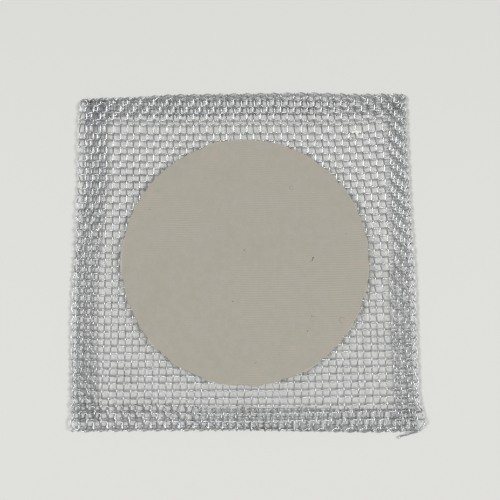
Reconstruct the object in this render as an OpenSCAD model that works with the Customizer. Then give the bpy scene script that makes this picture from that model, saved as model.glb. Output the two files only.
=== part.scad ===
// Ceramic-centred wire gauze: a square of plain-woven crimped wire cloth, its four edges folded
// under, with a flat disc of white ceramic pressed through the middle of the mesh.
// It lies flat: +Z is up, and the origin is under its middle, where its lowest wires rest.

/* [Cloth] */
// Distance from one wire to the next, across the gauze and from front to back
pitch = [2.54, 2.64]; // [2.3:0.02:3.2]
// Wires of the visible face, counted across and from front to back
wires = [48, 46]; // [30:2:60]
// Thickness of one wire
wire_d = 0.46; // [0.36:0.02:0.5]
// Free space between two wires where they cross
weave_gap = 0.07; // [0.06:0.01:0.1]

/* [Folded edges] */
// Free space between two layers of folded cloth
layer_gap = 0.09; // [0.06:0.01:0.2]
// Lengthwise wires in each turned-under strip, besides the one in the bend
hem_wires = 3; // [1:1:5]
// How far a cut end stands past the last wire of its strip
tail = 0.9; // [0.5:0.1:1.2]

/* [Ceramic] */
// Width of the disc
disc_d = 90.5; // [60:0.5:105]
// Thickness of the disc, through the mesh
disc_t = 2; // [1.6:0.1:3]
// Where the disc sits from the middle, to the right and to the back
disc_at = [0.4, -1.2]; // [-5:0.1:5]
// Bevel round the disc's rim
rim = 0.3; // [0.1:0.05:0.4]
// Free space round each wire where it runs through the ceramic
seat_gap = 0.04; // [0.03:0.01:0.08]

/* [Hidden] */
$fn = 24;

function r2(x) = round(100 * x) / 100;
function odd(k) = k % 2 == 0 ? 1 : -1;

// A crossing lifts one wire and lowers the other by this much
lift = (wire_d + weave_gap) / 2;
// Distance between the middles of two layers of cloth
layer = r2(2 * lift + wire_d + layer_gap);
// The straight next to a bend is this much thicker, so that it swallows both its neighbours' ends
sleeve = 0.01;
// Half the height of a crossing, at the outside of its knuckle
crown = lift + (wire_d + sleeve) / 2 * sqrt(1 + pow(2 * lift / min(pitch), 2));

// Way 0 is across the gauze, way 1 from front to back. Wire k of the face stands at:
function at(k, way) = (k - (wires[way] - 1) / 2) * pitch[way];
last = [at(wires[0] - 1, 0), at(wires[1] - 1, 1)];

// The left and right edges fold first and lie against the face. The front and back edges fold
// over them, one layer lower.
bend_r = [layer / 2, layer];
// Where the bends begin, about one mesh of wire before the lengthwise wire in the bend
edge = [for (way = [0, 1]) last[way] + r2(max(pitch[way] - PI * bend_r[way] / 2, 0.6 * pitch[way]))];
// Wires of the turned-under strip lie between those of the face
function hem_at(m, way) = last[way] - (m + 0.5) * pitch[way];

// Height of the face's middle over what the gauze lies on
face_z = r2(2 * bend_r[1] + crown);

// A straight of wire between two crossings x0 and x1, from over (s = 1) to under, kept from a to b
module run(x0, x1, s, a, b, extra = 0) {
    intersection() {
        translate([(x0 + x1) / 2, 0, 0])
            rotate([0, 90 + s * atan(2 * lift / (x1 - x0)), 0])
            cylinder(d = wire_d + extra, h = 1.5 * (x1 - x0), center = true);
        translate([a, -wire_d, -2 * wire_d])
            cube([b - a, 2 * wire_d, 4 * wire_d]);
    }
}

// The end of a wire beyond the last crossing of the face: round the bend and back underneath.
// s is 1 where the wire passes over at that crossing, and so inside the wire in the bend.
module turn(s, way) {
    r = bend_r[way];
    run(last[way], edge[way], s, last[way], edge[way], sleeve);
    translate([edge[way], 0, -r])
        rotate([90, 0, 0])
        rotate_extrude(angle = 180, start = -90)
        translate([r - s * lift, 0])
        circle(d = wire_d);
    translate([0, 0, -2 * r])
        run(hem_at(0, way), edge[way], -s, hem_at(0, way), edge[way], sleeve);
    for (m = [1 : hem_wires]) {
        x0 = hem_at(m, way);
        x1 = hem_at(m - 1, way);
        translate([0, 0, -2 * r])
            run(x0, x1, odd(m) * -s, m == hem_wires ? x1 - tail : x0, x1);
    }
}

// One wire of the face laid along X, over at its first crossing if s is 1
module face_wire(s, way) {
    for (k = [0 : wires[way] - 2])
        run(at(k, way), at(k + 1, way), odd(k) * s, at(k, way), at(k + 1, way));
    turn(odd(wires[way] - 1) * s, way);
    mirror([1, 0, 0])
        turn(s, way);
}

// One wire that lies along a fold, ending half a mesh past its outermost crossings
module hem_wire(s, way) {
    n = wires[way];
    for (k = [-1 : n - 1])
        run(at(k, way), at(k + 1, way), odd(k + 2) * s,
            at(max(k, -0.5), way), at(min(k + 1, n - 0.5), way));
}

// Two neighbouring wires across the gauze, folded under at its left and right
module weft(k) {
    color("silver")
        for (j = [2 * k - 2, 2 * k - 1])
            translate([0, at(j, 1), face_z])
            face_wire(odd(j), 0);
}

// Two neighbouring wires from front to back, folded under everything else
module warp(k) {
    color("silver")
        for (i = [2 * k - 2, 2 * k - 1])
            translate([at(i, 0), 0, face_z])
            rotate([0, 0, 90])
            face_wire(-odd(i), 1);
}

// The wires along one fold: one in the bend, swaying in and out round the wires it crosses, and
// the rest flat underneath. s is 1 where the first wire it crosses is over at the face's last one.
module hem(s, way) {
    translate([0, edge[way] + bend_r[way], face_z - bend_r[way]])
        rotate([-90, 0, 0])
        hem_wire(s, 1 - way);
    for (m = [0 : hem_wires - 1])
        translate([0, hem_at(m, way), face_z - 2 * bend_r[way]])
        hem_wire(odd(m) * s, 1 - way);
}

module side_hem(s) {
    color("gainsboro")
        rotate([0, 0, -90])
        hem(s, 0);
}

module end_hem(s) {
    color("gainsboro")
        hem(s, 1);
}

module ceramic_disc() {
    channel = wire_d + 2 * seat_gap;
    color("antiquewhite")
        translate([disc_at[0], disc_at[1], face_z])
        difference() {
            rotate_extrude($fn = 180)
                polygon([[0, -disc_t / 2], [disc_d / 2 - rim, -disc_t / 2],
                         [disc_d / 2, rim - disc_t / 2], [disc_d / 2, disc_t / 2 - rim],
                         [disc_d / 2 - rim, disc_t / 2], [0, disc_t / 2]]);
            // Channels for the wires both ways, one way a touch deeper than the other
            for (way = [0, 1], k = [0 : wires[way] - 1])
                if (abs(at(k, way) - disc_at[way]) < disc_d / 2)
                    rotate([0, 0, 90 * way])
                    translate([at(k, way) - disc_at[way], 0, 0])
                    cube([channel, 2 * disc_d, 2 * crown + (1 + way) * seat_gap], center = true);
            // Where a small cloth's turned-under strips reach in below the disc, it steps over them
            for (way = [0, 1], side = [0, 180])
                translate([-disc_at[0], -disc_at[1], -2 * bend_r[way]])
                    rotate([0, 0, 90 * way + side])
                    translate([hem_at(hem_wires - 1, way) - tail - seat_gap, -disc_d, -crown - seat_gap])
                    cube([disc_d, 2 * disc_d, 2 * (crown + seat_gap)]);
        }
}

ceramic_disc();
for (k = [1 : wires[1] / 2])
    weft(k);
for (k = [1 : wires[0] / 2])
    warp(k);
mirror([1, 0, 0]) side_hem(-1);  // hem_left
side_hem(1);  // hem_right
mirror([0, 1, 0]) end_hem(-1);  // hem_front
end_hem(1);  // hem_back
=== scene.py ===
"""Looks of a ceramic-centred wire gauze: every wire of the cloth as a smooth crimped strand that
passes over and under the ones it meets and turns under at its edge, and the pressed ceramic disc.

Everything is placed from the CAD frame. Metres, +Z up, the origin under the gauze's middle."""

import math

import bmesh
import bpy
import numpy as np
from mathutils import Matrix, Vector


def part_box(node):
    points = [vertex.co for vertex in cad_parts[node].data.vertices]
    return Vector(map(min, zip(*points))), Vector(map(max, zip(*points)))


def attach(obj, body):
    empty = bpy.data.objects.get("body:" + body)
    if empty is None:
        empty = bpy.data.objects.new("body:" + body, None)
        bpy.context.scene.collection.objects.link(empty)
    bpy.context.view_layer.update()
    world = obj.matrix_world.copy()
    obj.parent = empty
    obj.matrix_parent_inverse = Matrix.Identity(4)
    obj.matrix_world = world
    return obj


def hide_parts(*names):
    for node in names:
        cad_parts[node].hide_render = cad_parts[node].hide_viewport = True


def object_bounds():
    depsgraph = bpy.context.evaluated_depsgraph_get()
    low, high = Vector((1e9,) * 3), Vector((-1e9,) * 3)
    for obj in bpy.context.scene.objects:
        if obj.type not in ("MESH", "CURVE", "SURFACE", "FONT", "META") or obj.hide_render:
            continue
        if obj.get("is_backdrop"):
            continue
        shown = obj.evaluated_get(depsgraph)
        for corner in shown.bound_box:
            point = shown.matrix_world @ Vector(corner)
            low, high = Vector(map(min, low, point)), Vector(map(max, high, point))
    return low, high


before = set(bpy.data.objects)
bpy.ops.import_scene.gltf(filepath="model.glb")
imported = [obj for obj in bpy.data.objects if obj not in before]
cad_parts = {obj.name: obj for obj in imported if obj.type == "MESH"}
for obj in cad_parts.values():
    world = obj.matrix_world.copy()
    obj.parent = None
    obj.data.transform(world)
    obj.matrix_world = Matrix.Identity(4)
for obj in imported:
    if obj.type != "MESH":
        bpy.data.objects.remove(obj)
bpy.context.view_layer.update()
rng = np.random.default_rng(7)

MM = 0.001

# ---------------------------------------------------------------- what the frame says
WEFT = sorted((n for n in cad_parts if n.startswith("weft_")), key=lambda n: int(n[5:]))
WARP = sorted((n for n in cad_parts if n.startswith("warp_")), key=lambda n: int(n[5:]))
disc_low, disc_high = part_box("ceramic_disc")
weft_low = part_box(WEFT[0])[0]
warp_low, warp_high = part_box(WARP[0])

# Way 0 is across the gauze, and way 1 from front to back. A weft wire runs in way 0.
# A node of the face holds two neighbouring wires, so nodes are two pitches apart.
PITCH = np.array([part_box(WARP[1])[0].x - warp_low.x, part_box(WEFT[1])[0].y - weft_low.y]) / 2
WIRE = warp_high.x - warp_low.x - PITCH[0]
# How many wires the face has, and how far out from the middle its last one lies
COUNT = np.array([2 * len(WARP), 2 * len(WEFT)])
LAST = (COUNT - 1) / 2 * PITCH
# Height of the face's middle, and over that of a knuckle's top and of the wire's middle in it
FACE_Z = (disc_low.z + disc_high.z) / 2
CROWN = warp_high.z - FACE_Z
LIFT = CROWN - WIRE / 2
# Radius of the bends at the sides, and at the front and back
BEND = np.array([(FACE_Z - weft_low.z - CROWN) / 2, (FACE_Z - warp_low.z - CROWN) / 2])
DISC = np.array([(disc_low.x + disc_high.x) / 2, (disc_low.y + disc_high.y) / 2])
DISC_R = (disc_high.x - disc_low.x) / 2
DISC_T = disc_high.z - disc_low.z

# ---------------------------------------------------------------- what the photo shows
# Lengthwise wires past the face's last one, for each way and side
LINES = {(0, -1): 5, (0, 1): 4, (1, -1): 5, (1, 1): 4}
# Two strips were cut askew, and miss the innermost of those along part of their fold: from where
# to where, and how many millimetres longer the tips of the crossing wires are there
CUT = {(0, 1): (-0.1, 1, 1.3), (1, -1): (-1, -0.36, 2.0)}
# Crossings worked out past the face's last wire
SPAN = 5
# Share of the way from one crossing to the next that a rounded knuckle takes
KNUCKLE = 1 / 6
# How far a wire sways sideways at a crossing, in millimetres, and how far the outermost ones do
SWING = 0.1
EDGE_SWING = 0.4
# Points from one crossing to the next, where the cloth lies flat and where it bends
FLAT_STEPS = 6
BEND_STEPS = 10
# Radius of a wire, a touch under the CAD's
R_WIRE = WIRE * 0.49


# ---------------------------------------------------------------- the folded sheet
# The cloth is worked out flat, as a sheet, and then folded. The folds were made by hand: each runs
# a little askew to the wires, so that a wire lies on the face at one end and in the bend at the other.
# Lengths are in millimetres in this section, and places along a fold run from -1 to 1.
def ease(x):
    """A smooth step from 0 to 1."""
    x = np.clip(x, 0, 1)
    return x * x * (3 - 2 * x)


def hump(x, middle, width):
    """A smooth bump of height 1."""
    return np.exp(-(((x - middle) / width) ** 2))


def fold_start(way, side, t):
    """How far past the face's last wire the bend begins, in metres, at t along the fold."""
    if way == 0:
        low = 1.15 + 1.15 * ease((0.45 - t) / 0.65) - 0.3 * ease((-t - 0.7) / 0.3)
        high = 1.1 + 0.5 * hump(t, -0.15, 0.35) + 0.2 * ease((t - 0.8) / 0.2)
        # The front right corner flares out.
        high = high + 1.8 * np.clip((-t - 0.86) / 0.14, 0, 1)
    else:
        low = 0.85 + 1.65 * ease((t + 0.65) / 1.5)
        high = 1.7 - 0.95 * ease((np.abs(t) - 0.38) / 0.42)
    return np.where(side < 0, low, high) * MM


def unfold(s, way, t):
    """Where a point of the sheet lies, s metres out from the middle before folding.
    Returns its place along the way, its drop, and the sheet's upper side there."""
    side = np.sign(s)
    flat = LAST[way] + fold_start(way, side, t)
    r = BEND[way]
    d = np.maximum(np.abs(s) - flat, 0)
    turn = np.clip(d / r, 0, math.pi)
    back = np.maximum(d - math.pi * r, 0)
    along = side * (np.minimum(np.abs(s), flat) + r * np.sin(turn) - back)
    return along, -r * (1 - np.cos(turn)), side * np.sin(turn), np.cos(turn)


def beneath(way, side, t, past):
    """How far past the face's last wire, along the sheet, a wire of the strip beneath lies, for its
    place past that last wire as seen from above."""
    return (2 * fold_start(way, side, t) + math.pi * BEND[way]) / MM - past


# Every crossing, of warp wire I and weft wire J: how far out it lies, with 1 at the face's last wire,
# and how many wires past that one
I, J = np.meshgrid(np.arange(-SPAN, COUNT[0] + SPAN), np.arange(-SPAN, COUNT[1] + SPAN), indexing="ij")
ni, nj = I.shape
xn = (I - (COUNT[0] - 1) / 2) * PITCH[0] / LAST[0]
yn = (J - (COUNT[1] - 1) / 2) * PITCH[1] / LAST[1]
tx, ty = np.clip(xn, -1, 1), np.clip(yn, -1, 1)
out_x = np.maximum(-I, I - COUNT[0] + 1)
out_y = np.maximum(-J, J - COUNT[1] + 1)

# The cloth sits off the middle of its folds: to the right, and most so along its left edge,
shift_x = 0.6 - 0.15 * ty + 0.55 * ease(-tx * 1.2) * ease((ty + 1) / 0.6)
shift_x -= 0.25 * ease(-tx) * ease((-ty - 0.6) / 0.4)
shift_x += (I == 0) * 0.5 * hump(ty, 0.38, 0.2)
# and to the back, where its wires wave and crowd up to the fold.
back_wave = -0.3 + 0.65 * ease((-tx - 0.3) / 0.7) - 0.35 * hump(tx, 0.5, 0.25)
back_wave += 0.8 * ease((tx - 0.65) / 0.35)
shift_y = 0.85 - 0.3 * tx + ease(ty / 0.9) * back_wave + 0.2 * ease(-ty / 0.9) * ease(np.abs(tx))
shift_y += 0.6 * np.exp((J - COUNT[1] + 1) / 1.2) * (tx < 0.3) + 0.75 * (J == COUNT[1] - 5)

# How far past the face's last wire, along the sheet, each lengthwise wire of a fold lies
first_left = 2.45 - shift_x + 0.9 * hump(ty, 0.48, 0.18)
second_left = first_left + 2.0 + 0.4 * ease((ty - 0.2) / 0.4)
inner_left = second_left - 0.6 * hump(ty, 0.1, 0.22)
first_right = fold_start(0, 1, ty) / MM + 0.75
strip_right = [-0.45, -3.1 + 0.4 * ease(-ty / 0.4), -5.55, -8.0]
first_front = 2.35 + 0.15 * tx
second_front = first_front + 2.0
# The strip beneath the front fold slips outwards by one wire, left of its middle.
slip = ease((tx + 0.5) / 0.34)
front_at = 0.8 + 1.1 * ease(tx / 0.95)
strip_front = [beneath(1, -1, tx, front_at - 2.65 * (k - slip)) for k in (1, 2, 3)]
third_front = np.maximum(strip_front[0], second_front + 1.1)
fourth_front = np.maximum(strip_front[1], third_front + 2.0)
first_back = fold_start(1, 1, tx) / MM + 1.35
back_right = ease((tx - 0.3) / 0.3)
strip_back = [0.85 - 0.95 * back_right, -2.05 - 0.75 * back_right, -4.55 - 0.65 * back_right, -7.2]
PAST = {
    (0, -1): [first_left, second_left, inner_left + 2.45, inner_left + 4.95, second_left + 7.45],
    (0, 1): [first_right] + [beneath(0, 1, ty, past) for past in strip_right],
    (1, -1): [first_front, second_front, third_front, fourth_front, strip_front[2]],
    (1, 1): [first_back] + [beneath(1, 1, tx, past) for past in strip_back],
}
# Sheet coordinates of the crossings, in metres: SHEET[0] across, SHEET[1] from front to back
SHEET = [xn * LAST[0] + shift_x * MM, yn * LAST[1] + shift_y * MM]
for (way, side), rows in PAST.items():
    K = (I, J)[way]
    for m, row in enumerate(rows, 1):
        line = -m if side < 0 else COUNT[way] - 1 + m
        SHEET[way] = np.where(K == line, side * (LAST[way] + row * MM), SHEET[way])


def wandering(shape, along, pace):
    """How far each wire lies beside its line, with a slow wave of its own."""
    aside = rng.normal(0, 0.09, shape)
    wave = rng.normal(0, 0.07, shape)
    return np.clip(aside + wave * np.sin(along * pace + rng.uniform(0, 6.3, shape)), -0.2, 0.2)


own_x = wandering((ni, 1), yn, 3.1)
own_y = wandering((1, nj), xn, 3.3)
SHEET[0] = SHEET[0] + (own_x + 0.035 * rng.normal(0, 1, (ni, nj))) * MM
SHEET[1] = SHEET[1] + (own_y + 0.035 * rng.normal(0, 1, (ni, nj))) * MM

# The strips beneath slid a little along their folds, by these shares of a pitch.
slid_y = np.where(xn < 0, 0.28, -0.42 - 0.1 * ty)
slid_x = np.where(yn > 0, 0.24, -0.28)
SHEET[1] = SHEET[1] + np.clip(out_x / 2, 0, 1) * slid_y * PITCH[1] * (out_y < 1)
SHEET[0] = SHEET[0] + np.clip(out_y / 2, 0, 1) * slid_x * PITCH[0] * (out_x < 1)


# ---------------------------------------------------------------- the middle line of a wire
def crimp(t):
    """A wire's rise and fall from one crossing to the next: straight, with rounded knuckles."""
    near = np.minimum(t, 1 - t)
    side = np.where(t < 0.5, 1.0, -1.0)
    bow = np.where(near < KNUCKLE, (KNUCKLE - near) ** 2 / KNUCKLE, 0)
    return side * (1 - 2 * near - bow) / (1 - KNUCKLE)


def settle(p):
    """The back corners are pulled in by the stiff pile of cloth, and the springy face bows up a
    little away from the disc."""
    x, y = p[:, 0] / LAST[0], p[:, 1] / LAST[1]
    pull = np.where(y > 0, np.where(x < 0, 0.35, 0.1), 0.0) * MM
    pull = pull * ease((np.abs(x) - 0.86) / 0.16) * ease((np.abs(y) - 0.86) / 0.16)
    away = ease((np.hypot(p[:, 0] - DISC[0], p[:, 1] - DISC[1]) - DISC_R - 2 * MM) / (9 * MM))
    bow = (0.12 + 0.12 * np.sin(x * 3.7 + 1) * np.sin(y * 4.1 - 0.4)) * MM
    p[:, 0] -= np.sign(x) * pull
    p[:, 1] -= np.sign(y) * pull
    p[:, 2] += away * bow * p[:, 2] / FACE_Z
    return p


def place(way, s, c, f):
    """Points of a wire in space: s and c are its sheet coordinates along and across the way it
    runs in, and f its crimp, from 1 over to -1 under."""
    # The outermost wires of the face are drawn towards the wire in the bend.
    start = LAST[1 - way] + fold_start(1 - way, np.sign(c), np.clip(s / LAST[way], -1, 1))
    gap = start - np.abs(c)
    drawn = ease((2.6 * MM - gap) / (1.4 * MM)) * (gap > -0.3 * MM)
    c = c + f * (SWING + drawn * (EDGE_SWING * np.sign(c) - SWING)) * MM
    along, drop, n_along, n_up = unfold(s, way, np.clip(c / LAST[1 - way], -1, 1))
    across, sink, n_across, n_rise = unfold(c, 1 - way, np.clip(s / LAST[way], -1, 1))
    # The wire in a bend swings in and out further than one on the flat.
    bent = np.abs(n_across)
    swell = LIFT * (f * (1 + 0.7 * bent) + 0.3 * bent * (1 - f**2))
    out = np.zeros((len(s), 3))
    out[:, way] = along + n_along * np.abs(n_rise) * swell
    out[:, 1 - way] = across + n_across * np.abs(n_up) * swell
    out[:, 2] = FACE_Z + drop + sink + n_up * n_rise * swell
    return settle(out)


def spline(values, k0, t, low, high):
    """Smooth values between the crossings k0 and k0 + 1."""
    p0, p1, p2, p3 = (values[np.clip(k0 + k, low, high) + SPAN] for k in (-1, 0, 1, 2))
    return 0.5 * (2 * p1 + (p2 - p0) * t + (2 * p0 - 5 * p1 + 4 * p2 - p3) * t**2
                  + (3 * p1 - p0 - 3 * p2 + p3) * t**3)


def sign_at(way, line, k):
    """1 where a wire passes over at crossing k, and -1 where it passes under."""
    return (-1.0) ** (k + line) * (1 if way == 0 else -1)


def coordinates(way, line):
    """The sheet coordinates of one wire at its crossings, along and across."""
    pick = (slice(None), line + SPAN) if way == 0 else (line + SPAN, slice(None))
    return SHEET[way][pick], SHEET[1 - way][pick]


def strand(way, line, low, high, tails, stray, lifts=(0, 0)):
    """The middle line of one wire: way is the direction it runs in, line its place across, and
    low and high its first and last crossings. A tail is a free end past them, strayed sideways
    and lifted a little by the shears."""
    along, across = coordinates(way, line)
    u = []
    for k in range(low, high):
        bends = -3 <= k < 0 or COUNT[way] - 1 <= k <= COUNT[way] + 1
        steps = BEND_STEPS if bends else FLAT_STEPS
        u.extend(k + np.arange(steps) / steps)
    u.append(high)
    u = np.array(u, float)
    k0 = np.clip(np.floor(u).astype(int), low, high - 1)
    t = u - k0
    s = spline(along, k0, t, low, high)
    c = spline(across, k0, t, low, high)
    points = place(way, s, c, sign_at(way, line, k0) * crimp(t))
    # The points of a tail, as shares of its length
    free = np.array([0.15, 0.3, 0.5, 0.7, 0.85, 1.0])
    for end, k in enumerate((low, high)):
        if tails[end] <= 0:
            continue
        outward = -1 if end == 0 else 1
        s = along[k + SPAN] + outward * free * tails[end]
        c = across[k + SPAN] + 0 * s
        # A tail longer than a pitch doesn't crimp again.
        t = np.minimum(free * tails[end] / PITCH[way], 0.95)
        tail = place(way, s, c, sign_at(way, line, k) * crimp(t))
        tail[:, 1 - way] += stray[end] * free**2
        tail[:, 2] += lifts[end] * free**2
        points = np.vstack([tail[::-1], points]) if end == 0 else np.vstack([points, tail])
    return points


def round_corner(points, way, line, k):
    """Curves the end of the wire in a bend inwards round the corner of the gauze."""
    low_end = k < COUNT[way] / 2
    end = points[0] if low_end else points[-1]
    side = -1 if low_end else 1
    fold_side = -1 if line < 0 else 1
    margin = 0.1 * MM
    reach = LAST[way] + fold_start(way, side, fold_side) + BEND[way] - abs(end[way]) - margin
    # The front left corner is almost square.
    widest = 0.9 if side < 0 and fold_side < 0 else 2.6
    rho = np.clip(reach, 0.5 * MM, widest * MM)
    straight = max(reach - rho, 0) + margin
    phi = np.radians(np.array([14, 30, 46, 62, 78, 92]))
    q = np.tile(end, (len(phi), 1))
    q[:, way] += side * (straight + rho * np.sin(phi))
    q[:, 1 - way] -= fold_side * rho * (1 - np.cos(phi))
    q[:, 2] -= (0.1 * MM) * phi
    return np.vstack([q[::-1], points]) if low_end else np.vstack([points, q])


# ---------------------------------------------------------------- meshes
def tube(points, radius, sides=8):
    """Vertices and faces of a round wire along points, with softly broken edges at its cut ends."""
    p = np.array(points, float)
    # Nothing lies lower than the table that the gauze rests on.
    p[:, 2] = np.maximum(p[:, 2], radius + 0.01 * MM)
    tangent = np.gradient(p, axis=0)
    tangent /= np.linalg.norm(tangent, axis=1)[:, None]
    # Each cut end has one more ring, a little further out and narrower.
    p = np.vstack([p[0] - tangent[0] * radius * 0.25, p, p[-1] + tangent[-1] * radius * 0.25])
    tangent = np.vstack([tangent[0], tangent, tangent[-1]])
    size = np.full(len(p), radius)
    size[[0, -1]] *= 0.72
    ref = np.array([0.0, 0.0, 1.0]) if abs(tangent[0][2]) < 0.9 else np.array([1.0, 0.0, 0.0])
    normal = np.cross(tangent[0], ref)
    normals = []
    for ahead in tangent:
        normal = normal - ahead * normal.dot(ahead)
        normal /= math.sqrt(normal.dot(normal))
        normals.append(normal)
    normals = np.array(normals)
    other = np.cross(tangent, normals)
    a = np.arange(sides) / sides * 2 * math.pi
    ring = np.cos(a)[None, :, None] * normals[:, None] + np.sin(a)[None, :, None] * other[:, None]
    verts = (p[:, None] + ring * size[:, None, None]).reshape(-1, 3)
    n = len(p)
    base = (np.arange(n - 1) * sides)[:, None]
    j = np.arange(sides)[None, :]
    j1 = (j + 1) % sides
    quads = np.stack([base + j, base + j1, base + sides + j1, base + sides + j], -1).reshape(-1, 4)
    caps = [list(range(sides))[::-1], [(n - 1) * sides + i for i in range(sides)]]
    return verts, quads.tolist() + caps


def make_piece(name, parts, material, *nodes):
    """One object from several (vertices, faces), smooth, riding on the root."""
    verts, faces, base = [], [], 0
    for v, f in parts:
        verts.append(v)
        faces.extend([[i + base for i in face] for face in f])
        base += len(v)
    mesh = bpy.data.meshes.new(name)
    mesh.from_pydata(np.vstack(verts).tolist(), [], faces)
    mesh.polygons.foreach_set("use_smooth", [True] * len(mesh.polygons))
    mesh.materials.append(material)
    mesh.update()
    obj = bpy.data.objects.new(name, mesh)
    bpy.context.scene.collection.objects.link(obj)
    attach(obj, "root")
    if nodes:
        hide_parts(*nodes)
    return obj


# ---------------------------------------------------------------- materials
def new_material(name):
    mat = bpy.data.materials.new(name)
    mat.use_nodes = True
    tree = mat.node_tree
    shader = tree.nodes["Principled BSDF"]
    return mat, tree, shader


def fill(tree, node, inputs):
    """Links each input that is a socket, and sets the others."""
    for key, value in inputs.items():
        if isinstance(value, bpy.types.NodeSocket):
            tree.links.new(value, node.inputs[key])
        else:
            node.inputs[key].default_value = value


def add(tree, kind, inputs=None, **settings):
    """A new node with its settings and inputs."""
    node = tree.nodes.new(kind)
    for key, value in settings.items():
        setattr(node, key, value)
    fill(tree, node, inputs or {})
    return node


def on_piece(tree):
    """Where on its piece a point lies, in metres."""
    return add(tree, "ShaderNodeTexCoord").outputs["Object"]


def noise(tree, where, scale, detail=2.0, **more):
    inputs = {"Vector": where, "Scale": scale, "Detail": detail}
    for key, value in more.items():
        inputs[key.capitalize()] = value
    return add(tree, "ShaderNodeTexNoise", inputs).outputs[0]


def calc(tree, operation, *values):
    return add(tree, "ShaderNodeMath", dict(enumerate(values)), operation=operation).outputs[0]


def span(tree, value, low, high, to_low=0.0, to_high=1.0):
    """A value that runs from low to high, stretched to another range."""
    node = add(tree, "ShaderNodeMapRange", {0: value, 1: low, 2: high, 3: to_low, 4: to_high})
    return node.outputs[0]


def mix_colour(tree, factor, a, b):
    node = add(tree, "ShaderNodeMix", data_type="RGBA")
    fill(tree, node, {0: factor, 6: a, 7: b})
    return node.outputs[2]


def relief(tree, shader, strength, depth, height):
    """Fine relief, depth in metres."""
    bump = add(tree, "ShaderNodeBump", {"Strength": strength, "Distance": depth, "Height": height})
    tree.links.new(bump.outputs[0], shader.inputs["Normal"])


def srgb(r, g, b):
    """A display colour, 0 to 255, as the linear one that a shader takes."""
    def linear(c):
        c /= 255
        return c / 12.92 if c <= 0.04045 else ((c + 0.055) / 1.055) ** 2.4
    return (linear(r), linear(g), linear(b), 1.0)


def wire_material(name, tone, soot):
    """Galvanised steel wire: bright, a little cloudy, with dull patches and fine die marks."""
    mat, tree, shader = new_material(name)
    where = on_piece(tree)
    cloud = noise(tree, where, 420.0, 4.0, roughness=0.6)
    patch = noise(tree, where, 60.0)
    grain = noise(tree, where, 6500.0)
    bright = [min(255, c + 26) for c in tone]
    colour = mix_colour(tree, span(tree, cloud, 0.35, 0.68), srgb(*tone), srgb(*bright))
    colour = mix_colour(tree, span(tree, patch, 0.56, 0.74, 0.0, soot), colour, srgb(120, 118, 114))
    tree.links.new(colour, shader.inputs["Base Color"])
    shader.inputs["Metallic"].default_value = 1.0
    rough = span(tree, cloud, 0.3, 0.7, 0.3, 0.42)
    tree.links.new(rough, shader.inputs["Roughness"])
    relief(tree, shader, 0.2, 0.01 * MM, grain)
    return mat


def ceramic_material():
    """Dry pressed ceramic: off-white, matt, faintly ribbed by the mould and lightly marked."""
    mat, tree, shader = new_material("ceramic_dry")
    where = on_piece(tree)
    centre = (DISC[0], DISC[1], 0)
    local = add(tree, "ShaderNodeVectorMath", {0: where, 1: centre}, operation="SUBTRACT").outputs[0]
    split = add(tree, "ShaderNodeSeparateXYZ", {0: local})
    flat = add(tree, "ShaderNodeCombineXYZ", {0: split.outputs[0], 1: split.outputs[1]}).outputs[0]
    radius = add(tree, "ShaderNodeVectorMath", {0: flat}, operation="LENGTH").outputs["Value"]
    broad = noise(tree, where, 38.0, 3.0)
    mottle = noise(tree, where, 420.0, 5.0, roughness=0.65)
    grain = noise(tree, where, 3600.0, 3.0, roughness=0.7)

    # Ribs from side to side, 0.85 mm apart, that wander a little and fade out in places
    wander = calc(tree, "MULTIPLY", noise(tree, where, 90.0), 1.2 * MM)
    ribs = calc(tree, "ADD", split.outputs[1], wander)
    ribs = calc(tree, "MULTIPLY", ribs, 2 * math.pi / (0.85 * MM))
    ribs = calc(tree, "MULTIPLY", calc(tree, "SINE", ribs), span(tree, broad, 0.4, 0.62))

    base = mix_colour(tree, span(tree, broad, 0.3, 0.7), srgb(165, 160, 148), srgb(168, 164, 152))
    base = mix_colour(tree, span(tree, mottle, 0.36, 0.66), base, srgb(171, 167, 156))
    base = mix_colour(tree, span(tree, ribs, -1.0, 1.0, 0.0, 0.24), base, srgb(136, 132, 122))
    base = mix_colour(tree, span(tree, grain, 0.52, 0.75, 0.0, 0.4), base, srgb(134, 130, 120))
    # Faint warm stains, mostly towards the rim
    stain = span(tree, noise(tree, where, 75.0, distortion=0.4), 0.58, 0.72)
    stain = calc(tree, "MULTIPLY", stain, span(tree, radius, DISC_R * 0.72, DISC_R * 0.97))
    base = mix_colour(tree, calc(tree, "MULTIPLY", stain, 0.24), base, srgb(184, 160, 148))
    # Small pinholes and dark grains, one in each of a few cells
    cells = add(tree, "ShaderNodeTexVoronoi", {"Vector": where, "Scale": 210.0, "Randomness": 1.0})
    chance = add(tree, "ShaderNodeSeparateColor", {0: cells.outputs["Color"]}).outputs[0]
    dot = span(tree, cells.outputs["Distance"], 0.03, 0.06, 1.0, 0.0)
    dot = calc(tree, "MULTIPLY", dot, span(tree, chance, 0.955, 0.96))
    base = mix_colour(tree, calc(tree, "MULTIPLY", dot, 0.5), base, srgb(96, 88, 80))
    # The broken rim is paler and chalkier.
    rim = span(tree, radius, DISC_R * 0.99, DISC_R)
    base = mix_colour(tree, calc(tree, "MULTIPLY", rim, 0.3), base, srgb(204, 200, 190))
    tree.links.new(base, shader.inputs["Base Color"])
    shader.inputs["Roughness"].default_value = 0.93
    shader.inputs["Specular IOR Level"].default_value = 0.25

    height = calc(tree, "MULTIPLY", grain, 0.6)
    for pattern, share in ((ribs, 0.25), (mottle, 0.7), (dot, -0.8)):
        height = calc(tree, "MULTIPLY_ADD", pattern, share, height)
    relief(tree, shader, 0.55, 0.08 * MM, height)
    return mat


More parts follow.
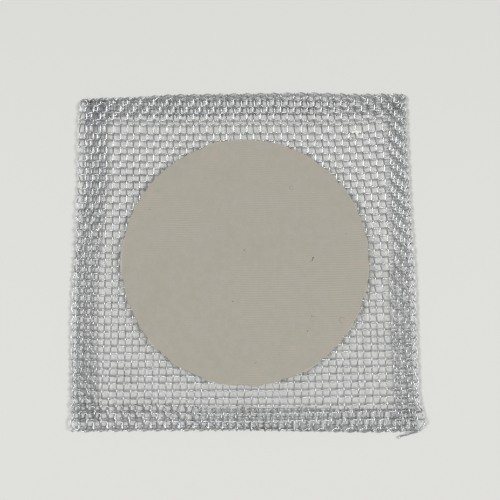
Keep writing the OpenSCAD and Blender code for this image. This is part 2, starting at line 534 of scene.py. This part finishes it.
def speck_material(name, dark, light):
    """Grit burnt into the ceramic, or the rims of burst blisters in it."""
    mat, tree, shader = new_material(name)
    grain = noise(tree, on_piece(tree), 4000.0, 3.0)
    colour = mix_colour(tree, grain, srgb(*dark), srgb(*light))
    tree.links.new(colour, shader.inputs["Base Color"])
    shader.inputs["Roughness"].default_value = 0.85
    relief(tree, shader, 0.5, 0.05 * MM, grain)
    return mat


def chalk_material():
    """Fresh white breaks of the ceramic."""
    mat, tree, shader = new_material("ceramic_chip")
    grain = noise(tree, on_piece(tree), 2600.0, 4.0)
    colour = mix_colour(tree, span(tree, grain, 0.3, 0.7), srgb(226, 222, 211), srgb(242, 240, 232))
    tree.links.new(colour, shader.inputs["Base Color"])
    shader.inputs["Roughness"].default_value = 0.9
    relief(tree, shader, 0.5, 0.06 * MM, grain)
    return mat


face_wire = wire_material("galvanised_wire", (184, 186, 188), 0.35)
hem_wire = wire_material("galvanised_wire_hem", (184, 185, 187), 0.4)
ceramic = ceramic_material()
chalk = chalk_material()
grit = speck_material("grit", (58, 50, 45), (104, 94, 86))
blister = speck_material("blister_rim", (120, 116, 106), (148, 144, 134))

# ---------------------------------------------------------------- the wires
# Every wire of the face, turned under at both ends, and left by the shears with free ends of 0.3
# to 0.9 mm that point a little sideways and down
for nodes, way in ((WEFT, 0), (WARP, 1)):
    for n, node in enumerate(nodes):
        parts = []
        for line in (2 * n, 2 * n + 1):
            t = (2 * line + 1) / COUNT[1 - way] - 1
            beyond = [0, 0]
            tails = rng.uniform(0.3, 0.9, 2)
            for end, side in enumerate((-1, 1)):
                low_t, high_t, longer = CUT.get((way, side), (0, 0, 0))
                short = low_t < t < high_t
                beyond[end] = LINES[way, side] - short
                tails[end] += longer * short
            stray = rng.normal(0, 0.18, 2)
            lifts = -np.abs(rng.normal(0, 0.1, 2))
            low, high = -beyond[0], COUNT[way] - 1 + beyond[1]
            points = strand(way, line, low, high, tails * MM, stray * MM, lifts * MM)
            parts.append(tube(points, R_WIRE))
        piece = make_piece(node + "_strands", parts, face_wire, node)

# Each fold's lengthwise wires, from the outermost, which rounds the corners, to the innermost
folds = (("hem_left", 0, -1), ("hem_right", 0, 1), ("hem_front", 1, -1), ("hem_back", 1, 1))
for node, across, side in folds:
    way = 1 - across
    parts = []
    for m in range(1, LINES[across, side] + 1):
        line = -m if side < 0 else COUNT[across] - 1 + m
        tails = np.zeros(2) if m == 1 else rng.uniform(0.7, 1.3, 2)
        stray = rng.normal(0, 0.2, 2)
        low, high = 0, COUNT[way] - 1
        if m == LINES[across, side] and (across, side) in CUT:
            low_t, high_t, _ = CUT[across, side]
            low = 0 if low_t > -1 else math.ceil((high_t + 1) / 2 * COUNT[way])
            high = high if high_t < 1 else math.floor((low_t + 1) / 2 * COUNT[way])
        points = strand(way, line, low, high, tails * MM, stray * MM)
        if m == 1:
            for k in (low, high):
                points = round_corner(points, way, line, k)
        parts.append(tube(points, R_WIRE))
    piece = make_piece(node + "_strands", parts, hem_wire, node)

# A loose end at the front right corner, sprung out of the fold and bent twice: its route in
# millimetres, from the gauze's middle and from the height of its face
knees = np.array([[61.9, -62.9, -1.2], [60.4, -63.6, -1.4], [58.5, -64.0, -1.6],
                  [56.9, -64.6, -1.7], [55.0, -64.9, -1.8], [54.1, -65.6, -1.9]]) * MM
knees[:, 2] += FACE_Z
piece = make_piece("loose_wire_end", [tube(knees, R_WIRE)], face_wire)

# ---------------------------------------------------------------- the ceramic disc
# Points round the disc, and the short straight facets in which its rim broke off
SEGMENTS = 540
FACETS = 110
angle = np.arange(SEGMENTS) / SEGMENTS * 2 * math.pi
waves = 0 * angle
for k in list(range(3, 40, 2)) + list(range(41, 150, 7)):
    height = rng.normal(0, 1) / k**0.55
    waves = waves + height * np.sin(k * angle + rng.uniform(0, 2 * math.pi))
breaks = np.sort(rng.uniform(0, 2 * math.pi, FACETS))
facets = np.interp(angle, breaks, rng.normal(0, 1, FACETS), period=2 * math.pi)
ragged = (0.45 * (waves / waves.std()) + 0.9 * facets) * 0.26 * MM


def disc_ring(radius, z, rough, side):
    """One ring of the disc: its rim follows the ragged line to which the paste was pressed."""
    r = radius + rough * ragged
    x, y = r * np.cos(angle), r * np.sin(angle)
    # The face isn't quite flat, and the mesh shows faintly through it near the rim.
    dome = 0.02 * MM * np.sin(x * 190 + 1) * np.sin(y * 160 + 2)
    quilt = np.cos((x + DISC[0]) / PITCH[0] * math.pi * 2)
    quilt *= np.cos((y + DISC[1]) / PITCH[1] * math.pi * 2)
    dome += 0.012 * MM * quilt * (radius / DISC_R) ** 3
    return np.stack([x + DISC[0], y + DISC[1], z + side * dome], 1)


# Rings of the flat, as shares of its radius, and rings of the rounded edge: how far in from the
# disc's radius and down from its top, in millimetres, and how closely each follows the ragged line
FLAT_RINGS = (0.004, 0.1, 0.2, 0.3, 0.4, 0.5, 0.6, 0.7, 0.78, 0.85, 0.9, 0.94, 0.97, 0.985, 0.995)
EDGE_RINGS = ((0.30, 0.03, 0.45), (0.14, 0.09, 0.9), (0.03, 0.24, 1.0), (0.0, 0.5, 1.0))
half = DISC_T / 2
upper = [(share * (DISC_R - 0.45 * MM), half - 0.02 * MM, 0.0) for share in FLAT_RINGS]
upper += [(DISC_R - inwards * MM, half - down * MM, rough) for inwards, down, rough in EDGE_RINGS]
rings = [disc_ring(r, FACE_Z + h, rough, 1) for r, h, rough in upper]
rings.append(disc_ring(DISC_R + 0.05 * MM, FACE_Z, 1.1, 1))
rings += [disc_ring(r, FACE_Z - h, rough, -1) for r, h, rough in reversed(upper)]
faces = []
for k in range(len(rings) - 1):
    a, b = k * SEGMENTS, (k + 1) * SEGMENTS
    faces += [[a + i, b + i, b + (i + 1) % SEGMENTS, a + (i + 1) % SEGMENTS] for i in range(SEGMENTS)]
faces.append(list(range(SEGMENTS)))
faces.append([(len(rings) - 1) * SEGMENTS + i for i in range(SEGMENTS)][::-1])
disc = make_piece("ceramic_centre", [(np.vstack(rings), faces)], ceramic, "ceramic_disc")


# ---------------------------------------------------------------- marks, grit and chips
def crumb(centre, radius, seed, flat):
    """A small broken grain: a ball with four flats, pressed to a share of its height."""
    r = np.random.default_rng(seed)
    bm = bmesh.new()
    bmesh.ops.create_icosphere(bm, subdivisions=2, radius=1.0)
    v = np.array([q.co[:] for q in bm.verts])
    f = [[q.index for q in face.verts] for face in bm.faces]
    bm.free()
    for _ in range(4):
        n = r.normal(size=3)
        n /= np.linalg.norm(n)
        over = np.maximum(v @ n - r.uniform(0.45, 0.8), 0)
        v = v - over[:, None] * n
    v *= 1 + 0.12 * r.normal(size=(len(v), 1))
    return v * np.array([1, r.uniform(0.6, 0.9), flat]) * radius + np.asarray(centre), f


# Height of the marks in the disc's face
mark_z = FACE_Z + half - 0.03 * MM

# Grit: place from the disc's middle and width, in millimetres
specks = [(24.8, 0.4, 0.8), (24.4, -0.4, 0.6), (23.8, -0.9, 0.4), (-0.3, 3.6, 0.5),
          (22.1, -26.0, 0.5), (-4.7, -15.0, 0.45), (23.7, -20.5, 0.36), (-34.9, 19.2, 0.36),
          (3.2, -37.1, 0.34), (20.1, 12.6, 0.34), (8.9, -39.1, 0.28), (37.1, 9.2, 0.28)]
parts = []
for i, (x, y, width) in enumerate(specks):
    parts.append(crumb((DISC[0] + x * MM, DISC[1] + y * MM, mark_z), width * MM / 2, 50 + i, 0.35))
piece = make_piece("disc_grit", parts, grit)

# Rims of burst blisters: place from the disc's middle and radius, in millimetres, and how much of
# the round is left
blisters = [(17.4, 26.6, 0.75, 0.93), (34.6, -22.2, 1.0, 0.7), (23.9, -21.6, 0.75, 0.8),
            (-32.5, 25.3, 1.1, 0.4)]
parts = []
for x, y, r, left in blisters:
    a = np.linspace(0.4, 0.4 + 2 * math.pi * left, 26)
    wavy = r * (1 + 0.08 * np.sin(3 * a)) * MM
    loop_x = DISC[0] + x * MM + wavy * np.cos(a)
    loop_y = DISC[1] + y * MM + wavy * np.sin(a)
    parts.append(tube(np.stack([loop_x, loop_y, 0 * a + mark_z], 1), 0.055 * MM, 6))
piece = make_piece("disc_blisters", parts, blister)

# Chips of ceramic caught on the mesh, right at the back, as a bar with a foot and some bits beside
# them: place from the gauze's middle, radius and height over the wires, in millimetres
bar = [(x, 46.55 + 0.12 * math.sin(3 * x), 0.62, 0.3) for x in np.arange(41.3, 44.5, 0.42)]
foot = [(42.9, 45.9, 0.6, 0.32), (43.05, 45.3, 0.5, 0.3), (43.5, 44.75, 0.42, 0.25),
        (44.2, 44.4, 0.5, 0.28), (44.85, 44.3, 0.42, 0.25)]
bits = [(40.6, 43.8, 0.42, 0.2), (45.2, 50.0, 0.36, 0.2), (50.7, 49.4, 0.34, 0.2)]
parts = []
for i, (x, y, r, z) in enumerate(bar + foot + bits):
    centre = (x * MM, y * MM, FACE_Z + CROWN + z * MM - 0.1 * MM)
    parts.append(crumb(centre, r * MM, 80 + i, 0.5))
# One more clings to the left of the disc's rim.
centre = (DISC[0] - DISC_R + 0.7 * MM, DISC[1] - 11.7 * MM, FACE_Z + 0.8 * MM)
parts.append(crumb(centre, 0.6 * MM, 95, 0.7))
piece = make_piece("ceramic_chips", parts, chalk)

# ---------------------------------------------------------------- floor, light and camera
floor_mat, tree, shader = new_material("pale_floor")
shader.inputs["Base Color"].default_value = srgb(216, 216, 213)
shader.inputs["Roughness"].default_value = 0.9
shader.inputs["Specular IOR Level"].default_value = 0.2
bpy.ops.mesh.primitive_plane_add(size=4.0, location=(0, 0, -0.02 * MM))
floor = bpy.context.active_object
floor.name = "floor"
floor.data.materials.append(floor_mat)
floor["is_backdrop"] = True

world = bpy.data.worlds.new("studio")
world.use_nodes = True
background = world.node_tree.nodes["Background"]
background.inputs[0].default_value = (1.0, 1.0, 1.0, 1.0)
background.inputs[1].default_value = 0.28
bpy.context.scene.world = world


def softbox(name, side, watts):
    """A broad soft light well out to one side and a little to the front, facing the gauze."""
    data = bpy.data.lights.new(name, "AREA")
    data.shape = "RECTANGLE"
    data.size = 0.24
    data.size_y = 0.22
    data.energy = watts
    where = Vector((side * 0.55, -0.085, 0.83)) * 0.9
    obj = bpy.data.objects.new(name, data)
    bpy.context.scene.collection.objects.link(obj)
    obj.location = where
    obj.rotation_euler = (-where).to_track_quat("-Z", "Y").to_euler()


softbox("left_softbox", -1, 3.9)
softbox("right_softbox", 1, 3.9)

# The camera looks almost straight down, from a little to the front.
camera_data = bpy.data.cameras.new("camera")
camera_data.sensor_width = 36
camera_data.lens = 43.2
camera_data.clip_start = 5 * MM
camera = bpy.data.objects.new("camera", camera_data)
bpy.context.scene.collection.objects.link(camera)
tilt, pan, roll = 6.887, 0.115, -0.838
view = Matrix.Translation((2.65 * MM, -23.86 * MM, FACE_Z + 218.78 * MM))
for degrees, axis in ((tilt, "X"), (pan, "Y"), (roll, "Z")):
    view = view @ Matrix.Rotation(math.radians(degrees), 4, axis)
camera.matrix_world = view
bpy.context.scene.camera = camera
bpy.context.scene.view_settings.view_transform = "Standard"

low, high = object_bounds()
